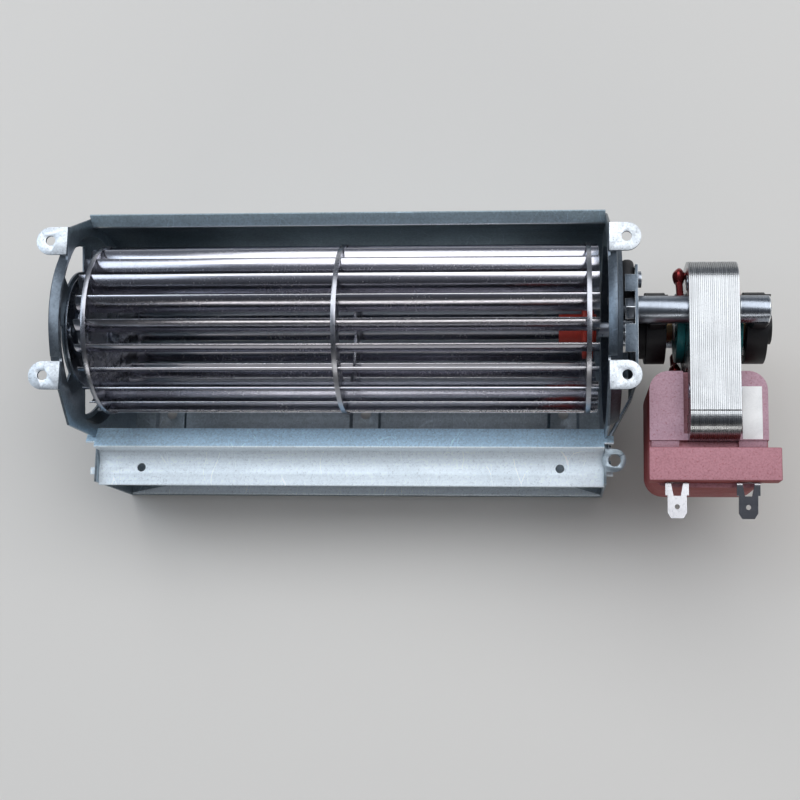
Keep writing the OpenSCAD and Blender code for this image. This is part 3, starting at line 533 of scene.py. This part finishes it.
# Its upward faces are painted a little lighter: dust with a sheen.
black_rubber = moulding("black_rubber", (0.032, 0.031, 0.032), 0.6, dust_and_sheen=0.3, dust_and_sheen_tone=(0.09, 0.09, 0.095),
                        gloss=0.35)
bronze = moulding("sintered_bronze", (0.45, 0.30, 0.16), 0.4, metallic=0.9)
for node in ("bearing_cup", "cup_rivets", "stub_axle"):
    dressed(node, [turned_steel], TURNED_EDGE)
dressed("bearing_rubber", [black_rubber], RUBBER_EDGE)
dressed("impeller_bearing", [bronze], TURNED_EDGE)


# The coupling: a heat proof silicone hub, moulded on a steel sleeve that is pressed on the motor's shaft.
# The right disc snaps into its groove, and the rubber keeps the motor's hum out of the impeller.
HUB_EDGE = 0.3 * mm
HUB_CORE_R = 8 * mm
HUB_WAIST_R = 5.1 * mm
COLLAR_HALF = 1.9 * mm
COLLAR_RINGS = (-2.0, -1.8, 1.8, 2.0)
red_silicone = moulding("red_silicone", (0.42, 0.035, 0.02), 0.45)
shaft = Vector(frame["joints"][0]["pos_m"])
disc_at = (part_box("right_disc")[0].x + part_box("right_disc")[1].x) / 2


def waisted(point):
    """The hub is slim inside the impeller, with a collar only where the disc sits."""
    reach = math.hypot(point.y - shaft.y, point.z - shaft.z)
    if reach < HUB_CORE_R or abs(point.x - disc_at) < COLLAR_HALF:
        return point
    share = HUB_WAIST_R / reach
    return Vector((point.x, shaft.y + (point.y - shaft.y) * share, shaft.z + (point.z - shaft.z) * share))


dressed("silicone_hub", [red_silicone], HUB_EDGE, reshape=waisted,
        slices=[disc_at + gap * mm for gap in COLLAR_RINGS])
for node in ("hub_sleeve", "motor_shaft"):
    dressed(node, [turned_steel], TURNED_EDGE)


# The motor's seat: a folded bridge riveted beside the outlet, with two rubber buffers screwed to the dish.
# Screws are rolled, so their shanks show the thread as fine rings.
THREAD = {"tone": (0.42, 0.43, 0.45), "roughness": 0.3, "pitch": 0.6 * mm}
HEAD_GAP = 0.2 * mm
BUFFER_R = 6.8 * mm
BUFFER_FLAT_R = 5 * mm
BUFFER_DOME = 1.9 * mm
INNER_SHARE = 0.1


def threaded(name, tone, roughness, pitch):
    """Plated steel with a rolled thread along X."""
    material, tree, bsdf, place = new_material(name)
    turns = add(tree, "ShaderNodeTexWave", {"bands_direction": "X", "wave_profile": "TRI"}, {
        "Vector": place, "Scale": 1 / (math.pi * pitch), "Distortion": 0.0, "Detail": 0.0}).outputs["Fac"]
    dull = mask_from(tree, smudges, place, Scale=300.0)
    shade = product(tree, ranged(tree, turns, 0.45, 1.1), ranged(tree, dull, 1, 0.8))
    tree.links.new(shaded(tree, tone, shade), bsdf.inputs["Base Color"])
    tree.links.new(ranged(tree, dull, roughness, roughness * 1.4), bsdf.inputs["Roughness"])
    embossed(tree, bsdf, turns, strength=0.8, depth=0.2 * mm)
    bsdf.inputs["Metallic"].default_value = 1.0
    return material


screw_thread = threaded("rolled_screw_thread", **THREAD)
# The bridge is the darker zinc copy all over: painted shade.
dressed("motor_bridge", [shaded_zinc, painted_edge_highlight], SHEET_EDGE)
buffer_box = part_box("rubber_buffers")
buffer_y = (buffer_box[0].y + buffer_box[1].y) / 2
buffer_z = buffer_box[1].z - BUFFER_R


def outer_rim(at):
    """Only the buffers' outer corners are round."""
    reach = math.hypot(at.y - buffer_y, abs(at.z - shaft.z) - (buffer_z - shaft.z))
    return 1.0 if reach > BUFFER_FLAT_R else INNER_SHARE


dressed("rubber_buffers", [black_rubber], BUFFER_DOME, segments=5, soft=outer_rim)
for node in ("bridge_rivets", "front_spacer_tubes", "through_nuts"):
    dressed(node, [turned_steel, painted_edge_highlight], TURNED_EDGE)
# The buffer nuts are the edge highlight copy all over: a painted glint.
dressed("buffer_nuts", [painted_edge_highlight], TURNED_EDGE)
screws = dressed("buffer_screws", [turned_steel, painted_edge_highlight], TURNED_EDGE)
head_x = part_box("motor_bridge")[1].x + HEAD_GAP
repaint(screws, screw_thread, lambda at, up: at.x < head_x and abs(up.x) < SIDEWAYS)
long_screws = dressed("through_screws", [turned_steel], TURNED_EDGE)
repaint(long_screws, screw_thread, lambda at, up: abs(up.x) < SIDEWAYS)


# The stator: sheets of silicon steel, punched, stacked and riveted, which show one by one on every edge.
# No two sheets lie quite flush, and each takes its own share of light and oil.
SHEETS = 26
SHEET_PITCH = 16.6 * mm / SHEETS
SHEET_THICK = 0.53 * mm
STAGGER = 0.02 * mm
SEAM_GAP = 0.4 * mm
SEAM_REACH = 0.3 * mm
RIVET_EDGE = 0.12 * mm
RIVET_HEAD = 0.3 * mm
STACK_STEEL = {"tone": (0.445, 0.46, 0.475), "roughness": 0.24}
# The darkest and lightest sheet, and the smoothest and roughest, as shares of the steel's own.
SHEET_TONES = (0.88, 1.05)
SHEET_ROUGH = (0.93, 1.08)
# How square to X a sheet's face is, and how near to the stack's end the first one lies.
SQUARE = 0.99
FLUSH = 0.01 * mm
# A small share of the pitch, so that a sheet's own first face counts as part of that sheet.
PAINT_LEAD = 0.05
SHEET_LEAD = 0.02
SLACK_SEED = 11
slack = random.Random(SLACK_SEED)


def punched_steel(name, tone, roughness, first):
    """Silicon steel whose tone and gloss change from sheet to sheet along X."""
    material, tree, bsdf, place = new_material(name)
    along = add(tree, "ShaderNodeSeparateXYZ", inputs={"Vector": place}).outputs["X"]
    count = add(tree, "ShaderNodeMath", {"operation": "MULTIPLY_ADD"}, {
        0: along, 1: 1 / SHEET_PITCH, 2: PAINT_LEAD - first / SHEET_PITCH}).outputs[0]
    whole = add(tree, "ShaderNodeMath", {"operation": "FLOOR"}, {0: count}).outputs[0]
    chance = add(tree, "ShaderNodeTexWhiteNoise", {"noise_dimensions": "1D"}, {"W": whole}).outputs["Value"]
    dull = mask_from(tree, smudges, place, Scale=70.0)
    fleck = mask_from(tree, specks, place, Scale=1500.0)
    shade = product(tree, ranged(tree, chance, *SHEET_TONES), ranged(tree, dull, 1.0, 0.9),
                    ranged(tree, fleck, 1.0, 0.88))
    tree.links.new(shaded(tree, tone, shade), bsdf.inputs["Base Color"])
    rough = product(tree, ranged(tree, chance, roughness * SHEET_ROUGH[0], roughness * SHEET_ROUGH[1]),
                    ranged(tree, dull, 1.0, 1.3))
    tree.links.new(rough, bsdf.inputs["Roughness"])
    embossed(tree, bsdf, noise(tree, place, scale=1800.0, detail=3.0), strength=0.15, depth=0.05 * mm)
    bsdf.inputs["Metallic"].default_value = 1.0
    return material


def lamination_stack(node, material, seam=None):
    """The sheets that a stacked CAD solid is made of, each a little out of line with the next.

    seam is the Y of a butt joint with another stack, from which the sheets are held back by a gap."""
    piece = loose_copy(node, node + "_sheets")
    piece.data.materials.append(material)
    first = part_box(node)[0].x
    bpy.ops.object.mode_set(mode="EDIT")
    bpy.ops.mesh.select_mode(type="FACE")
    bpy.ops.mesh.select_all(action="DESELECT")
    bpy.ops.object.mode_set(mode="OBJECT")
    for face in piece.data.polygons:
        face.select = face.normal.x > -SQUARE or face.center.x > first + FLUSH
    bpy.ops.object.mode_set(mode="EDIT")
    bpy.ops.mesh.delete(type="FACE")
    bpy.ops.object.mode_set(mode="OBJECT")
    solid = piece.modifiers.new("sheet", "SOLIDIFY")
    solid.thickness, solid.offset = SHEET_THICK, -1
    bpy.ops.object.modifier_apply(modifier=solid.name)
    row = piece.modifiers.new("stack", "ARRAY")
    row.count, row.use_relative_offset, row.use_constant_offset = SHEETS, False, True
    row.constant_offset_displace = (SHEET_PITCH, 0, 0)
    bpy.ops.object.modifier_apply(modifier=row.name)
    steps = [(slack.uniform(-1, 1) * STAGGER, slack.uniform(-1, 1) * STAGGER) for _ in range(SHEETS)]
    for vertex in piece.data.vertices:
        step = steps[min(SHEETS - 1, int((vertex.co.x - first) / SHEET_PITCH + SHEET_LEAD))]
        if seam is not None and vertex.co.y > seam - SEAM_REACH:
            vertex.co.y -= SEAM_GAP
        vertex.co.y += step[0]
        vertex.co.z += step[1]
    bpy.ops.object.shade_flat()
    stands_for(piece, node)


stack_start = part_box("stator_core")[0].x
stack_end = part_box("stator_core")[1].x
stack_steel = punched_steel("punched_stack_steel", first=stack_start, **STACK_STEEL)
lamination_stack("stator_core", stack_steel)
lamination_stack("coil_core_bar", stack_steel, seam=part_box("coil_core_bar")[1].y)


def peened(point):
    """The rivets' heads are hammered nearly flush."""
    return Vector((min(max(point.x, stack_start - RIVET_HEAD), stack_end + RIVET_HEAD), point.y, point.z))


dressed("core_rivets", [turned_steel], RIVET_EDGE, reshape=peened)


# The shading rings: lacquered copper wire through each pole, closed outside the stack by a welded ball.
# Each is bent from one piece of wire, lies flat behind the stack, and is dipped in red lacquer.
WIRE_R = 1.25 * mm
BEND_R = 1.3 * mm
BEND_STEPS = 6
# The Y and Z of each ring's two legs from the shaft, in millimetres: the ball sits on the second leg.
RING_LEGS = (((6.6, 14.9), (16.2, 9.4)), ((-6.5, -14.5), (-14.6, -9.2)))
RING_FRONT = stack_start - 2.1 * mm
RING_BACK = stack_end + 0.85 * mm
RING_FLATTEN = 0.75
BALL_HALVES = (2.1 * mm, 3.1 * mm, 2.9 * mm)
BALL_PULL = 0.96
COPPER = {"tone": (0.27, 0.035, 0.035), "roughness": 0.22, "speckle": 0.15, "grain_scale": 1800.0,
          "depth": 0.02 * mm, "metallic": 0.8}
lacquered_copper = moulding("lacquered_copper", **COPPER)


def bent_wire(legs):
    """A closed loop of wire through two legs, with a round bend at each corner."""
    span = (legs[1] - legs[0]).normalized()
    route = []
    for x, into, leg in ((RING_FRONT, 1, 0), (RING_FRONT, 1, 1), (RING_BACK, -1, 1), (RING_BACK, -1, 0)):
        inwards = span if leg == 0 else -span
        ahead = Vector((into, 0, 0))
        corner = legs[leg] + Vector((x, 0, 0))
        arc = [corner + BEND_R * ((1 - math.sin(a)) * inwards + (1 - math.cos(a)) * ahead)
               for a in (math.pi / 2 * k / BEND_STEPS for k in range(BEND_STEPS + 1))]
        route += arc if leg == (0 if into == -1 else 1) else arc[::-1]
    wire = bpy.data.curves.new("ring_wire", "CURVE")
    wire.dimensions = "3D"
    wire.bevel_depth, wire.bevel_resolution, wire.use_fill_caps = WIRE_R, 5, True
    line = wire.splines.new("POLY")
    line.points.add(len(route) - 1)
    for point, at in zip(line.points, route):
        point.co = (*at, 1)
    line.use_cyclic_u = True
    bent = bpy.data.objects.new("ring_wire", wire)
    bpy.context.scene.collection.objects.link(bent)
    pick(bent)
    bpy.ops.object.convert(target="MESH")
    return bpy.context.object


def welded_ball(leg):
    """The lump that is left where the wire's two ends were melted together, in front of a leg."""
    bpy.ops.mesh.primitive_uv_sphere_add(segments=32, ring_count=20, radius=1)
    ball = bpy.context.object
    middle = leg * BALL_PULL + Vector((RING_FRONT, 0, 0))
    for vertex in ball.data.vertices:
        x, y, z = vertex.co
        lump = 1 + 0.04 * math.sin(4 * x + 3 * z) + 0.03 * math.sin(5 * y)
        vertex.co = middle + Vector((x * BALL_HALVES[0], y * BALL_HALVES[1], z * BALL_HALVES[2])) * lump
    return ball


ring_parts = []
for ring in RING_LEGS:
    legs = [Vector((0, shaft.y + y * mm, shaft.z + z * mm)) for y, z in ring]
    ring_parts += [bent_wire(legs), welded_ball(legs[1])]
pick(ring_parts[0])
for part in ring_parts:
    part.select_set(True)
bpy.ops.object.join()
rings = bpy.context.object
rings.name = "shading_rings_finished"
for vertex in rings.data.vertices:
    if vertex.co.x > stack_end:
        vertex.co.x = stack_end + (vertex.co.x - stack_end) * RING_FLATTEN
rings.data.materials.clear()
rings.data.materials.append(lacquered_copper)
bpy.ops.object.shade_smooth()
stands_for(rings, "shading_rings")


# The rotor: skewed laminations between cast end rings, painted teal, with nylon washers against the bushes.
# The core is turned to size after casting, so its sheets show as fine rings under the stator's poles.
END_RING_EDGE = 0.3 * mm
WASHER_EDGE = 0.1 * mm
rotor_steel = punched_steel("punched_rotor_steel", (0.42, 0.43, 0.45), 0.4, first=stack_start)
teal_paint = moulding("teal_paint", (0.01, 0.16, 0.17), 0.35)
washer_nylon = moulding("washer_nylon", (0.8, 0.8, 0.76), 0.4)
dressed("rotor_core", [rotor_steel], TURNED_EDGE)
dressed("rotor_end_rings", [teal_paint], END_RING_EDGE)
dressed("thrust_washers", [washer_nylon], WASHER_EDGE)


# The motor's bearings: black moulded brackets between the posts, with bronze bushes and oiled felts inside.
# Pressed steel retainers hold the felts, and nuts on the through screws hold the brackets.
BRACKET_EDGE = 0.5 * mm
POST_NUT_EDGE = 0.5 * mm
FELT_EDGE = 0.3 * mm
# Its upward faces are painted a little lighter: dust with a sheen.
BRACKET = {"tone": (0.008, 0.008, 0.010), "roughness": 0.42, "speckle": 0.3, "dust_and_sheen": 0.25,
           "dust_and_sheen_tone": (0.03, 0.03, 0.033), "gloss": 0.3}
black_moulding = moulding("black_moulding", **BRACKET)
felt = moulding("oiled_felt", (0.5, 0.43, 0.28), 0.9, speckle=0.3)
for node in ("front_bearing_bracket", "rear_bearing_bracket"):
    dressed(node, [black_moulding], BRACKET_EDGE, segments=3)
for node in ("front_bearing", "rear_bearing"):
    dressed(node, [bronze], TURNED_EDGE)
dressed("oil_felts", [felt], FELT_EDGE)
dressed("felt_retainers", [turned_steel], TURNED_EDGE)
dressed("rear_post_nuts", [turned_steel, painted_edge_highlight], POST_NUT_EDGE, segments=3)


# The coil: enamelled wire wound on the core bar, under a moulded cover with the terminal block on its top.
# The red moulding carries dust and a painted sheen where it faces up, and is darker below.
RED_EDGE = 0.45 * mm
WINDING_EDGE = 0.3 * mm
CORE_CHANNEL = ((stack_start - 1.5 * mm, -40 * mm, -18.3 * mm), (stack_end + 1.2 * mm, -15 * mm, -15 * mm))
COVER_TOP_Z = -17 * mm
RED = {"tone": (0.26, 0.038, 0.038), "roughness": 0.5, "speckle": 0.2, "grain_scale": 1500.0, "gloss": 0.25}
# Dust with a painted sheen, pink, on the red's upward faces.
red_moulding = moulding("red_moulding", dust_and_sheen=0.72, dust_and_sheen_tone=(0.62, 0.34, 0.40), **RED)
# More dust and painted sheen, paler, for the cover's top.
sheen_and_dust_moulding = moulding("sheen_and_dust_red_moulding", dust_and_sheen=0.86, dust_and_sheen_tone=(0.60, 0.42, 0.51), **RED)
enamelled_wire = moulding("enamelled_wire", (0.40, 0.12, 0.05), 0.3, metallic=0.7)
dressed("coil_winding", [enamelled_wire], WINDING_EDGE)
cover = dressed("coil_cover", [red_moulding], RED_EDGE, segments=3, cuts=[CORE_CHANNEL])
repaint(cover, sheen_and_dust_moulding, lambda at, up: up.z > SLOPED_UP and at.z > COVER_TOP_Z)
dressed("terminal_block", [red_moulding], RED_EDGE, segments=3)


# The terminals: tinned brass tabs pushed into the block, one straight and one bent down.
# They are blanked from thin strip, so their faces are flat and their edges square.
TIN = {"tone": (0.42, 0.42, 0.44), "roughness": 0.16, "spangle_depth": 0.03, "line_depth": 0.05}
tinned_brass = sheet_metal("tinned_brass", **TIN)
for node in ("left_terminal", "right_terminal"):
    tab = loose_copy(node, node + "_finished", merged=False)
    tab.data.materials.append(tinned_brass)
    bpy.ops.object.shade_flat()
    stands_for(tab, node)


# The label: a plain white sticker on the cover, with nothing printed on it.
# It is cut from smooth paper, and held by its own glue.
LABEL_EDGE = 0.02 * mm
label_paper = moulding("label_paper", (0.95, 0.95, 0.95), 0.5, speckle=0.02)
dressed("blank_label", [label_paper], LABEL_EDGE)
